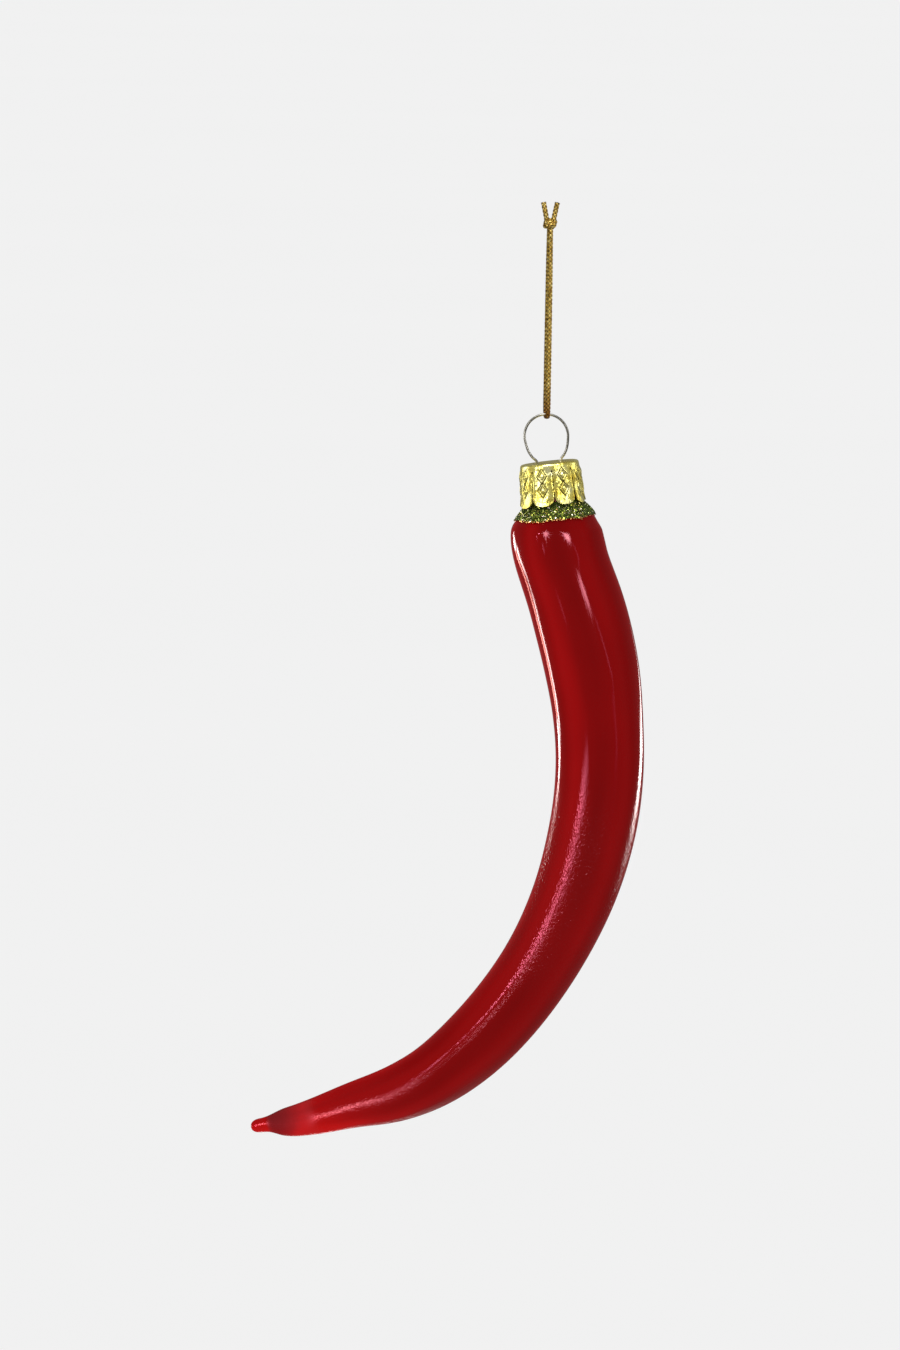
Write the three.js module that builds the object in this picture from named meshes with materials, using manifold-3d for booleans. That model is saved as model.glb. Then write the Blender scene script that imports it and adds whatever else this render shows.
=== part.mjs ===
// Chili ornament: a blown glass pod in a stamped crown cap, hung from a wire ring on a loop of cord.
// Millimetres. Seen from the front, +X is to the right, +Y is away and +Z is up.
// The origin is where a hook bears inside the top of the cord's loop, under its knot.

import * as THREE from 'three';
import { mergeVertices } from 'three/addons/utils/BufferGeometryUtils.js';
import Module from 'manifold-3d';

const wasm = await Module();
wasm.setup();

// How the ornament hangs
const hangDrop = 40.9; // from the origin down to the centre of the wire ring
const hangTilt = 7.2; // degrees that the neck leans to the left, which puts the weight under the ring

// Glass pod
const podReach = 73.55; // from the neck's middle across to the end of the tip
const podDrop = 125.9; // from the top of the cap down to it, both square to the neck's lean
const neckRadius = 5.25;
const neckLength = 6.3; // straight part below the mouth
const glassWall = 0.85;
const mouthGap = 0.3; // between the mouth and the underside of the cap
const tipSeal = 4.0; // solid glass at the tip
const nubRadius = 0.95; // bead where the glass was drawn off
const nubLength = 1.9;
const nubNeckRadius = 1.05; // where the bead starts
const shoulderGap = 0.1; // from the petal tips down to the start of the shoulder
const ridgeCount = 6; // soft ridges that run the length of the pod
const shoulderGroove = 0.4; // depth between two ridges at the shoulder
const bodyGroove = 0.2; // and along the body
const grooveSettled = 1 / 3; // share of the pod's length where the grooves have the body's depth
const grooveFading = 0.75; // share where they start to fade out
const grooveGone = 0.93; // and where they are gone

// The pod's axis below the neck: shares of podReach to the right and of podDrop down
const podAxisShares = [
  [0.0000, 0.0874],
  [-0.0020, 0.1152],
  [0.0061, 0.1589],
  [0.0333, 0.2327],
  [0.0537, 0.3217],
  [0.0585, 0.3971],
  [0.0476, 0.4909],
  [0.0136, 0.5814],
  [-0.0612, 0.6902],
  [-0.1795, 0.7975],
  [-0.3290, 0.8880],
  [-0.4786, 0.9480],
  [-0.5914, 0.9710],
  [-0.7206, 0.9821],
  [-0.8538, 0.9956],
  [-1.0000, 1.0000],
];

// The shoulder's outline: distance along the axis from its start, and radius
const shoulderOutline = [
  [0.0, 5.75],
  [1.2, 6.8],
  [2.7, 7.9],
  [4.5, 8.95],
  [6.1, 9.3],
  [9.1, 9.42],
  [13.6, 9.33],
];

// The body's radii, and the shares of the axis from the start of the shoulder to the bead where they are
const bodyRadii = [9.62, 9.5, 9.02, 8.7, 7.75, 7.0, 5.7, 4.3, 3.15, 1.9];
const bodyShares = [0.148, 0.210, 0.277, 0.425, 0.572, 0.720, 0.818, 0.885, 0.950, 0.984];

// Glitter collar on the shoulder
const collarTop = -0.7; // distance along the axis from the start of the shoulder
const collarBottom = 2.7;
const collarThickness = 0.35;
const collarGap = 0.1; // glue line under the glitter

// Crown cap
const capSheet = 0.3;
const capClearance = 0.35; // round the neck
const capHeight = 8.4;
const capFlare = 0.95; // how far the petal tips stand out past the rim
const capCorner = 0.6; // radius of the rounded rim
const petalCount = 9;
const petalTurn = 3; // degrees from the front to the first slit
const petalTip = 1.5; // height of a petal's rounded tip
const slitWidth = 0.3;
const slitTop = 1.8; // below the rim
const lozengeWidth = 2.0;
const lozengeHeight = 2.7;
const lozengeRise = 0.22;
const lozengeDrops = [2.75, 5.75]; // centres of the two lozenges below the rim

// Wire hanger
const wireDiameter = 0.5;
const ringDiameter = 9.2; // outside
const ringHeight = 5.25; // from the top of the cap to the ring's centre
const holeSpacing = 4.7;
const holeClearance = 0.2; // round the wire in the cap's two holes
const leftLeave = 38; // degrees round from the ring's lowest point where the wire leaves the circle
const rightLeave = 66;
const legDrop = 8.3; // from the top of the cap to the legs' ends
const legStraight = 1.1; // straight wire below the top of the cap
const legRise = 0.4; // and above it
const legReach = 3.75; // from the middle to the wire at the legs' ends

// Cord
const cordDiameter = 1.1;
const knotGap = 0.3; // between the cord's loop and its knot
const knotWrapRadius = 0.95;
const knotWrapTilt = 26; // degrees
const knotHeight = 2.5;
const tailTop = 5.7; // height of the tails' ends
const tailSplay = 13; // degrees that each tail leans out
const tailSpacing = 1.0; // between the tails inside the knot

// The cord's route: from the knot down the front strand, through the ring and up the rear strand
const cordRoute = [
  [0.1, -0.62, 0.0],
  [0.14, -0.78, -3.0],
  [0.18, -1.04, -8.0],
  [0.2, -1.34, -14.0],
  [0.21, -1.62, -20.0],
  [0.22, -1.86, -26.0],
  [0.22, -2.04, -31.0],
  [0.22, -2.13, -35.2],
  [0.17, -1.83, -36.5],
  [0.09, -1.0, -37.29],
  [0.0, 0.0, -37.5],
  [-0.09, 1.0, -37.29],
  [-0.17, 1.83, -36.5],
  [-0.22, 2.13, -35.2],
  [-0.22, 2.04, -31.0],
  [-0.22, 1.86, -26.0],
  [-0.21, 1.62, -20.0],
  [-0.2, 1.34, -14.0],
  [-0.18, 1.04, -8.0],
  [-0.14, 0.78, -3.0],
  [-0.1, 0.62, 0.0],
];

// Fineness of the facets
const podSides = 36;
const podRingStep = 4.5; // between the rings of facets along the pod
const capSidesPerPetal = 6;
const capWallRings = 3;
const cordSides = 8;
const cordSteps = 72;
const knotSides = 18;
const wireSides = 8;
const wireSteps = 96;
const ringPoints = 24; // that steer the wire round the ring
const holeSides = 12;

// Sizes that follow from those above
const degrees = Math.PI / 180;
const wireRadius = wireDiameter / 2;
const ringRadius = ringDiameter / 2 - wireRadius; // to the middle of the wire
const holeRadius = wireRadius + holeClearance;
const capRadius = neckRadius + capClearance + capSheet; // outside, at the rim
const mouthDrop = capSheet + mouthGap; // from the top of the cap to the mouth
const shoulderStart = capHeight - mouthDrop + shoulderGap; // distance from the mouth
const cordRadius = cordDiameter / 2;
const cutMargin = 1; // that a cut runs past the metal

// The angles of a quarter turn in equal steps, for rounded corners and tips
function quarterTurn(steps) {
  return Array.from({ length: steps + 1 }, (_, i) => (i / steps) * 0.5 * Math.PI);
}

// A geometry with its shared vertices merged and no collapsed triangles
function welded(geometry) {
  const bare = new THREE.BufferGeometry();
  bare.setAttribute('position', geometry.getAttribute('position'));
  bare.setIndex(geometry.getIndex());
  const merged = mergeVertices(bare);
  const corners = merged.getIndex().array;
  const kept = [];
  for (let i = 0; i < corners.length; i += 3) {
    const [a, b, c] = [corners[i], corners[i + 1], corners[i + 2]];
    if (a !== b && b !== c && c !== a) {
      kept.push(a, b, c);
    }
  }
  merged.setIndex(kept);
  return merged;
}

function solidOf(geometry) {
  const merged = welded(geometry);
  const vertProperties = new Float32Array(merged.getAttribute('position').array);
  const triVerts = new Uint32Array(merged.getIndex().array);
  return new wasm.Manifold(new wasm.Mesh({ numProp: 3, vertProperties, triVerts }));
}

function geometryOf(solid) {
  const { vertProperties, triVerts } = solid.getMesh();
  const geometry = new THREE.BufferGeometry();
  geometry.setAttribute('position', new THREE.BufferAttribute(new Float32Array(vertProperties), 3));
  geometry.setIndex(new THREE.BufferAttribute(new Uint32Array(triVerts), 1));
  return geometry;
}

function roundSection(radius, sides) {
  const shape = new THREE.Shape();
  for (let i = 0; i < sides; i += 1) {
    const angle = (i / sides) * 2 * Math.PI;
    const point = [radius * Math.cos(angle), radius * Math.sin(angle)];
    if (i === 0) {
      shape.moveTo(...point);
    } else {
      shape.lineTo(...point);
    }
  }
  shape.closePath();
  return shape;
}

function tubeAlong(points, radius, sides, steps) {
  const path = new THREE.CatmullRomCurve3(points.map((point) => new THREE.Vector3(...point)));
  path.curveType = 'centripetal';
  const settings = { steps, extrudePath: path, bevelEnabled: false };
  return new THREE.ExtrudeGeometry(roundSection(radius, sides), settings);
}

// The pod's curved axis, straight through the neck
const podAxis = new THREE.CatmullRomCurve3(
  [
    new THREE.Vector3(0, 0, -mouthDrop),
    new THREE.Vector3(0, 0, -mouthDrop - neckLength),
    ...podAxisShares.map(([across, down]) => new THREE.Vector3(podReach * across, 0, -podDrop * down)),
  ],
  false,
  'centripetal',
);
podAxis.arcLengthDivisions = 800;
const podLength = podAxis.getLength();
const beadStart = podLength - nubLength;

// Stations down the pod: x is the radius and y the distance from the mouth
const podStations = new THREE.SplineCurve(
  [
    [0, neckRadius],
    [neckLength / 2, neckRadius],
    [neckLength, neckRadius],
    ...shoulderOutline.map(([along, radius]) => [shoulderStart + along, radius]),
    ...bodyRadii.map((radius, i) => [THREE.MathUtils.lerp(shoulderStart, beadStart, bodyShares[i]), radius]),
    [beadStart, nubNeckRadius],
    [podLength - nubRadius, nubRadius],
  ].map(([along, radius]) => new THREE.Vector2(radius, along)),
);

// The pod's outside as rings of facets, close together where the stations are
function ringsAlongPod() {
  const stations = podStations.points;
  const spans = stations.length - 1;
  const rings = [];
  for (let i = 0; i < spans; i += 1) {
    const steps = Math.max(1, Math.round((stations[i + 1].y - stations[i].y) / podRingStep));
    for (let j = 0; j < steps; j += 1) {
      rings.push(podStations.getPoint((i + j / steps) / spans));
    }
  }
  rings.push(stations[spans].clone());
  return rings;
}
const outerRings = ringsAlongPod();

// How deep the groove between two ridges is at a distance from the mouth
function grooveAt(along) {
  const { smoothstep } = THREE.MathUtils;
  const fullDepth = neckLength + neckRadius;
  const rise = smoothstep(along, neckLength, fullDepth);
  const settle = smoothstep(along, fullDepth, podLength * grooveSettled);
  const fade = 1 - smoothstep(along, podLength * grooveFading, podLength * grooveGone);
  return rise * fade * THREE.MathUtils.lerp(shoulderGroove, bodyGroove, settle);
}

// A turned shape whose axis is the height, grooved and bent along the pod's axis
function bentAlongPod(turned) {
  const place = turned.getAttribute('position');
  for (let i = 0; i < place.count; i += 1) {
    const along = THREE.MathUtils.clamp(place.getY(i), 0, podLength);
    const radius = Math.hypot(place.getX(i), place.getZ(i));
    const angle = Math.atan2(place.getX(i), place.getZ(i));
    const groove = (grooveAt(along) * (1 + Math.cos(ridgeCount * angle))) / 2;
    const grooved = Math.max(radius - groove, 0);
    const centre = podAxis.getPointAt(along / podLength);
    const heading = podAxis.getTangentAt(along / podLength);
    const across = new THREE.Vector3(-heading.z, 0, heading.x);
    centre.addScaledVector(across, grooved * Math.sin(angle));
    centre.y += grooved * Math.cos(angle);
    place.setXYZ(i, centre.x, centre.y, centre.z);
  }
  return turned;
}

function glassPodGeometry() {
  const innerEnd = podLength - tipSeal;
  const inner = outerRings
    .filter((ring) => ring.y < innerEnd - glassWall && ring.x > 2 * glassWall)
    .map((ring) => new THREE.Vector2(ring.x - glassWall, ring.y));
  const nub = quarterTurn(2).slice(1, -1).map((angle) => new THREE.Vector2(
    nubRadius * Math.cos(angle),
    podLength - nubRadius + nubRadius * Math.sin(angle),
  ));
  const end = new THREE.Vector2(0, podLength);
  const profile = [new THREE.Vector2(0, innerEnd), ...inner.reverse(), ...outerRings, ...nub, end];
  return bentAlongPod(welded(new THREE.LatheGeometry(profile, podSides)));
}

// The pod's outside at one distance from the mouth, on the facet between two rings
function ringAt(along) {
  const next = outerRings.findIndex((ring) => ring.y > along);
  const [above, below] = [outerRings[next - 1], outerRings[next]];
  return above.clone().lerp(below, (along - above.y) / (below.y - above.y));
}

function glitterCollarGeometry() {
  const [top, bottom] = [shoulderStart + collarTop, shoulderStart + collarBottom];
  const between = outerRings.filter((ring) => ring.y > top && ring.y < bottom);
  const under = [ringAt(top), ...between, ringAt(bottom)];
  const lifted = (lift) => under.map((ring) => new THREE.Vector2(ring.x + lift, ring.y));
  const profile = [...lifted(collarGap).reverse(), ...lifted(collarGap + collarThickness)];
  profile.push(profile[0]);
  return bentAlongPod(welded(new THREE.LatheGeometry(profile, podSides)));
}

// Outside radius of the cap at a drop below the rim
function capRadiusAt(drop) {
  return capRadius + capFlare * THREE.MathUtils.clamp((drop - capCorner) / (capHeight - capCorner), 0, 1);
}

// The pressed cup that the petals are cut from
function capShell() {
  const corner = (radius) => quarterTurn(2).map((angle) => new THREE.Vector2(
    capRadius - capCorner + radius * Math.sin(angle),
    -capCorner + radius * Math.cos(angle),
  ));
  const drops = [];
  for (let i = 1; i <= capWallRings; i += 1) {
    drops.push(capCorner + ((capHeight - capCorner) * i) / capWallRings);
  }
  const outside = drops.map((drop) => new THREE.Vector2(capRadiusAt(drop), -drop));
  const inside = drops.map((drop) => new THREE.Vector2(capRadiusAt(drop) - capSheet, -drop));
  const profile = [
    new THREE.Vector2(0, -capSheet),
    ...corner(capCorner - capSheet),
    ...inside,
    ...outside.reverse(),
    ...corner(capCorner).reverse(),
    new THREE.Vector2(0, 0),
  ];
  return solidOf(new THREE.LatheGeometry(profile, petalCount * capSidesPerPetal).rotateX(Math.PI / 2));
}

// The opening between two petals: a slit that widens round their rounded tips
function petalGap() {
  const halfPitch = capRadiusAt(capHeight) * Math.sin(Math.PI / petalCount);
  const tipStart = capHeight - petalTip;
  const halfSlit = slitWidth / 2;
  const side = quarterTurn(4).map((angle) => [
    halfPitch - (halfPitch - halfSlit) * Math.cos(angle),
    -tipStart - petalTip * Math.sin(angle),
  ]);
  const right = [[halfSlit, -slitTop], ...side, [halfPitch, -capHeight - cutMargin]];
  const left = right.map(([x, y]) => [-x, y]).reverse();
  const shape = new THREE.Shape([...left, ...right].map(([x, y]) => new THREE.Vector2(x, y)));
  const depth = capRadiusAt(capHeight) + cutMargin;
  const prism = new THREE.ExtrudeGeometry(shape, { depth, bevelEnabled: false });
  return prism.translate(0, 0, neckRadius / 2).rotateX(Math.PI / 2);
}

// A raised lozenge on the front of the cap, at a drop below the rim
function lozenge(drop) {
  const cone = new THREE.ConeGeometry(1, 1, 4);
  const sunk = capSheet / 2;
  cone.scale(lozengeWidth / 2, lozengeRise + sunk, lozengeHeight / 2).rotateX(Math.PI);
  cone.rotateX(-Math.atan(capFlare / (capHeight - capCorner)));
  return cone.translate(0, -capRadiusAt(drop) - (lozengeRise - sunk) / 2, -drop);
}

function crownCapGeometry() {
  let cap = capShell();
  const pitch = (2 * Math.PI) / petalCount;
  for (let i = 0; i < petalCount; i += 1) {
    const slitAngle = petalTurn * degrees + i * pitch;
    for (const drop of lozengeDrops) {
      cap = cap.add(solidOf(lozenge(drop).rotateZ(slitAngle + pitch / 2)));
    }
  }
  for (let i = 0; i < petalCount; i += 1) {
    cap = cap.subtract(solidOf(petalGap().rotateZ(petalTurn * degrees + i * pitch)));
  }
  for (const side of [-1, 1]) {
    const hole = new THREE.CylinderGeometry(holeRadius, holeRadius, capSheet + 2 * cutMargin, holeSides);
    hole.rotateX(Math.PI / 2).translate((side * holeSpacing) / 2, 0, -capSheet / 2);
    cap = cap.subtract(solidOf(hole));
  }
  return geometryOf(cap);
}

// The wire's path: up the left leg, round the ring and down the right leg
function hangerPoints() {
  const circle = (angle) => [
    -ringRadius * Math.sin(angle * degrees),
    0,
    ringHeight - ringRadius * Math.cos(angle * degrees),
  ];
  const hole = holeSpacing / 2;
  const leg = (side) => [
    [side * legReach, 0, -legDrop],
    [side * ((hole + legReach) / 2), 0, -(legStraight + legDrop) / 2],
    [side * hole, 0, -legStraight],
    [side * hole, 0, legRise],
  ];
  const ring = [];
  for (let i = 0; i <= ringPoints; i += 1) {
    ring.push(circle(leftLeave + ((360 - rightLeave - leftLeave) * i) / ringPoints));
  }
  return [...leg(-1), ...ring, ...leg(1).reverse()];
}

function knotGeometry() {
  const middle = knotGap + knotHeight / 2;
  const wrap = (tilt) => new THREE.TorusGeometry(knotWrapRadius, cordRadius, cordSides, knotSides)
    .rotateX(tilt * degrees)
    .translate(0, 0, middle);
  const core = new THREE.CylinderGeometry(knotWrapRadius, knotWrapRadius, knotHeight, knotSides);
  let knot = solidOf(core.rotateX(Math.PI / 2).translate(0, 0, middle));
  knot = knot.add(solidOf(wrap(knotWrapTilt))).add(solidOf(wrap(-knotWrapTilt)));
  const tailLength = tailTop - middle;
  for (const side of [-1, 1]) {
    const tail = new THREE.CylinderGeometry(cordRadius, cordRadius, tailLength, cordSides);
    tail.translate(0, tailLength / 2, 0).rotateX(Math.PI / 2).rotateY(side * tailSplay * degrees);
    knot = knot.add(solidOf(tail.translate((side * tailSpacing) / 2, 0, middle)));
  }
  return geometryOf(knot);
}

function mesh(name, geometry, color, roughness, metalness) {
  const material = new THREE.MeshStandardMaterial({ color, roughness, metalness });
  const piece = new THREE.Mesh(geometry, material);
  piece.name = name;
  return piece;
}

const ornament = new THREE.Group();

const cordLoop = welded(tubeAlong(cordRoute, cordRadius, cordSides, cordSteps));
ornament.add(mesh('cord_loop', cordLoop, 0xb98a2e, 0.4, 0.8));
ornament.add(mesh('cord_knot', knotGeometry(), 0xb98a2e, 0.4, 0.8));

// The neck's frame: zero at the middle of the cap's top, turned with the hanging ornament
const neck = new THREE.Group();
neck.rotation.y = -hangTilt * degrees;
neck.position.set(
  ringHeight * Math.sin(hangTilt * degrees),
  0,
  -hangDrop - ringHeight * Math.cos(hangTilt * degrees),
);
const wire = welded(tubeAlong(hangerPoints(), wireRadius, wireSides, wireSteps));
neck.add(mesh('wire_hanger', wire, 0xc9c4b8, 0.25, 1.0));
neck.add(mesh('crown_cap', crownCapGeometry(), 0xd9b64a, 0.3, 1.0));
neck.add(mesh('glass_pod', glassPodGeometry(), 0x8f0a10, 0.08, 0.0));
neck.add(mesh('glitter_collar', glitterCollarGeometry(), 0x5f7a24, 0.6, 0.3));
ornament.add(neck);

export default ornament;
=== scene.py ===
"""Chili ornament: a curved pod of blown glass with a glitter collar, in a stamped crown cap that
hangs from a wire ring on a plaited cord. Metres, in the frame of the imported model."""

import math
import random

import bpy
import numpy as np
from mathutils import Matrix, Vector, noise


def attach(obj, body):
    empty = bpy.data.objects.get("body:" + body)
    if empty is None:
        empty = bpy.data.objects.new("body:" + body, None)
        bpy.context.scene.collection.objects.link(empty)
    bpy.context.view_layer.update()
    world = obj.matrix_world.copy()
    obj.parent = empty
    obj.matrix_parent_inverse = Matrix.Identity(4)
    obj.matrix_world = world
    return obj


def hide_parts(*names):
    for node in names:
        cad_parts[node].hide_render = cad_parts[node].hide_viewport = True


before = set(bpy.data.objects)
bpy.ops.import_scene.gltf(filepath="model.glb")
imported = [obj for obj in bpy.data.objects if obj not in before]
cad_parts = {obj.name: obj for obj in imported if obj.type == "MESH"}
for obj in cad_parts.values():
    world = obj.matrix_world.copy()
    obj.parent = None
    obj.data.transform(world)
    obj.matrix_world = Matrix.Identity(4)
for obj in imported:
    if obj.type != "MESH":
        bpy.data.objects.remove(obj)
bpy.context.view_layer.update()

mm = 0.001

# How the ornament hangs
hang_drop = 40.9 * mm  # from the top of the cord's loop down to the middle of the wire ring
hang_tilt = math.radians(7.2)  # of the neck to the left
ring_height = 5.25 * mm  # from the top of the cap to the middle of the ring

# Camera
picture_height = 270 * mm  # of the whole frame, measured at the ornament
picture_middle = Vector((-18.4, 0.0, -89.1)) * mm
camera_distance = 3.0
camera_rise = math.radians(4.3)
camera_roll = math.radians(1.0)
camera_sensor = 36.0  # in millimetres, as the camera takes it
camera_reach = 200.0  # past the floor's edge

# Cord
cord_diameter = 1.1 * mm
strands_each_way = 4
plait_pitch = 3.2 * mm  # for one turn of a strand round the cord
strand_width = 0.5 * mm
strand_thickness = 0.29 * mm
strand_weave = 0.075 * mm  # that a strand rises and dips as it crosses the others
strand_sides = 8
strand_rings_each_mm = 9
route_steps = 24  # between two points of a route
bight_top = -36.9 * mm  # the height below which the loop is pressed flat under the wire
bight_squeeze = 0.5
cord_front = [Vector(point) * mm for point in (  # from inside the knot down to the wire ring
    (0.06, -0.36, 1.6),
    (0.09, -0.55, 0.7),
    (0.11, -0.65, 0.0),
    (0.14, -0.78, -3.0),
    (0.18, -1.04, -8.0),
    (0.2, -1.34, -14.0),
    (0.21, -1.62, -20.0),
    (0.22, -1.86, -26.0),
    (0.22, -2.04, -31.0),
    (0.22, -2.13, -35.2),
    (0.17, -1.83, -36.5),
    (0.09, -1.0, -37.29),
)]
cord_lowest = Vector((0.0, 0.0, -37.5)) * mm
cord_back = [Vector((-point.x, -point.y, point.z)) for point in reversed(cord_front)]
cord_route = [*cord_front, cord_lowest, *cord_back]

# Knot at the top of the loop
knot_gap = 0.3 * mm
knot_height = 2.5 * mm
knot_wrap_radius = 0.95 * mm
knot_turns = 2.15
knot_start = -0.6 * math.pi  # round the knot
knot_points = 27  # on the way round
knot_dive = 0.75  # share of the radius that the turns' two ends go in by
knot_spread = 1.15 * mm  # from the lowest turn up to the highest
knot_slant = 0.42 * mm  # that a turn rises and dips on its way round
tail_top = 5.7 * mm
tail_sink = 0.6 * mm  # of its foot below the middle of the knot
tail_foot = (0.4 * mm, 0.35 * mm)  # to the side and to the front
tail_bow = 0.25 * mm
tail_splay = math.radians(13)

# Glass pod, down its axis from the mouth
neck_radius = 5.25 * mm
neck_length = 6.3 * mm
glass_wall = 0.85 * mm
tip_seal = 4.0 * mm  # solid glass at the tip
ridge_count = 6
shoulder_groove = 0.4 * mm
body_groove = 0.2 * mm
groove_fade = (0.75, 0.93)  # shares of the pod's length
tail_lean = 0.3  # that the tail's front drops for each length that it stands forward
tail_lean_start = (0.74, 0.86)  # shares of the pod's length
tail_lean_end = (0.965, 0.985)
pod_sides = 36
axis_steps = 60  # between two points of the axis
outline_steps = 12
pod_axis_points = [  # across and up from the middle of the cap's top, in millimetres
    (0.0, -0.6), (0.0, -6.9), (0.0, -11.0), (-0.15, -14.5), (0.45, -20.0), (2.45, -29.3),
    (3.95, -40.5), (4.3, -50.0), (3.5, -61.8), (1.0, -73.2), (-4.5, -86.9), (-13.2, -100.4),
    (-24.2, -111.85), (-35.2, -119.45), (-43.5, -122.45), (-53.0, -123.95), (-62.8, -125.7),
    (-70.0, -126.05), (-73.8, -126.25),
]
pod_outline = [  # distance from the mouth and radius, in millimetres
    (0.0, 5.25), (3.15, 5.25), (6.3, 5.25), (7.9, 5.75), (9.1, 6.8), (10.6, 7.9), (12.4, 8.95),
    (14.0, 9.3), (17.0, 9.42), (21.5, 9.33), (32.0, 9.62), (42.0, 9.5), (53.0, 9.02),
    (77.0, 8.7), (101.0, 7.75), (125.0, 7.15), (141.0, 5.85), (152.0, 4.45), (162.5, 3.25),
    (166.2, 2.65), (168.0, 2.05), (169.2, 1.65), (170.1, 1.48), (171.05, 1.42), (171.65, 1.34),
    (172.05, 1.21), (172.35, 1.04), (172.6, 0.82), (172.8, 0.54), (172.92, 0.25),
]

# Glitter collar
collar_top = 7.0 * mm  # from the mouth, down the axis
collar_bottom = 10.6 * mm
glue_lift = 0.12 * mm
glue_thickness = 0.22 * mm
glue_lump = 0.5 * mm  # across
glue_lump_height = 0.04 * mm
collar_rings = 9
collar_sides = 96
flake_count = 3600
flake_radius = 0.15 * mm
flake_thickness = 0.03 * mm
flake_slant = 0.38  # spread of the flakes' slants
edge_flakes = 0.07  # share that lies along the collar's lower edge
gold_flakes = 0.16  # share of gold ones among the others

# Crown cap
cap_radius = 5.9 * mm
cap_height = 8.4 * mm
cap_flare = 0.6 * mm
cap_corner = 0.6 * mm
cap_sheet = 0.26 * mm
petal_count = 9
petal_turn = math.radians(3)
petal_tip = 1.6 * mm
slit_top = 1.4 * mm
slit_width = 0.1 * mm
slit_notch = 0.15 * mm  # half the width of the small hole at the head of a slit
petal_waist = 0.07 * mm  # that a petal is narrower between its diamonds
petal_crown = 0.12 * mm  # that its middle stands out
petal_curl = 0.1 * mm  # that its sides stand out
petal_bend = 5.6 * mm  # drop from which its tip flicks out
petal_columns = 40
petal_rows = 84
diamond_drops = (2.4 * mm, 5.15 * mm)
diamond_half_width = 1.0 * mm
diamond_half_height = 1.45 * mm
frame_height = 0.16 * mm  # of the raised frame round a diamond
outer_groove = 0.12 * mm
inner_groove = 0.09 * mm
pyramid_height = 0.24 * mm  # in the middle of a diamond
dot_height = 0.1 * mm
dot_spacing = 1.35 * mm  # from the petal's middle line to the stamped dots at its waist
hole_spacing = 4.7 * mm
hole_radius = 0.45 * mm
hole_sides = 24
top_rings = (0.8, 0.55, 0.3, 0.1)  # of the cap's flat top, each as a share of the one before

# Wire hanger
wire_radius = 0.25 * mm
ring_radius = 4.35 * mm  # to the middle of the wire
ring_leave = math.radians(84)  # round the ring from its lowest place
ring_points = 21
ring_foot = [(2.5 * mm, 0.5 * mm), (3.2 * mm, 1.3 * mm), (3.88 * mm, 2.6 * mm)]  # from a hole up to the ring
leg_drop = 8.3 * mm
leg_straight = 1.1 * mm
leg_reach = 3.75 * mm
wire_sides = 16
wire_steps = 5  # between two points of the wire

# Lights: far cards that the gloss of the glass shows, and softboxes in a pale room
light_middle = Vector((0.0, 0.0, -95.0)) * mm
card_distance = 3.0
star_glow = (0.9, 0.9, 1.0, 1.0)  # of a star's middle
softbox_distance = 1.0
room_gloss = 0.3  # that glossy things see of the room's front
floor_tone = 0.877  # that the camera sees past the floor's edge
floor_glow = 0.83
floor_size = 120.0
floor_drop = 0.26

# The neck's frame: zero at the middle of the cap's top
neck = Matrix.Translation((
    ring_height * math.sin(hang_tilt), 0.0, -hang_drop - ring_height * math.cos(hang_tilt),
)) @ Matrix.Rotation(-hang_tilt, 4, "Y")


class Amount:
    """A number, colour or vector in a node tree. Sums of numbers add Math nodes."""

    def __init__(self, nodes, socket):
        self.nodes = nodes
        self.socket = socket

    def maths(self, operation, first, second):
        return self.nodes.node("ShaderNodeMath", {"operation": operation}, {0: first, 1: second})

    def __add__(self, other):
        return self.maths("ADD", self, other)

    def __sub__(self, other):
        return self.maths("SUBTRACT", self, other)

    def __mul__(self, other):
        return self.maths("MULTIPLY", self, other)

    def __rsub__(self, other):
        return self.maths("SUBTRACT", other, self)

    __radd__ = __add__
    __rmul__ = __mul__


class Nodes:
    """A node tree in the making."""

    def __init__(self, tree):
        self.tree = tree

    def node(self, kind, settings, inputs, output=0):
        made = self.tree.nodes.new(kind)
        for name, value in settings.items():
            if name == "stops":
                elements = made.color_ramp.elements
                while len(elements) < len(value):
                    elements.new(0.5)
                for element, (position, colour) in zip(elements, value):
                    element.position = position
                    element.color = (*colour, 1.0)
            else:
                setattr(made, name, value)
        for name, value in inputs.items():
            if isinstance(value, Amount):
                self.tree.links.new(value.socket, made.inputs[name])
            else:
                made.inputs[name].default_value = value
        return Amount(self, made.outputs[output])

    def step(self, amount, low, high):
        """0 below low, 1 above high and smooth between them."""
        inputs = {"Value": amount, "From Min": low, "From Max": high}
        return self.node("ShaderNodeMapRange", {"interpolation_type": "SMOOTHSTEP"}, inputs)


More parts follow.
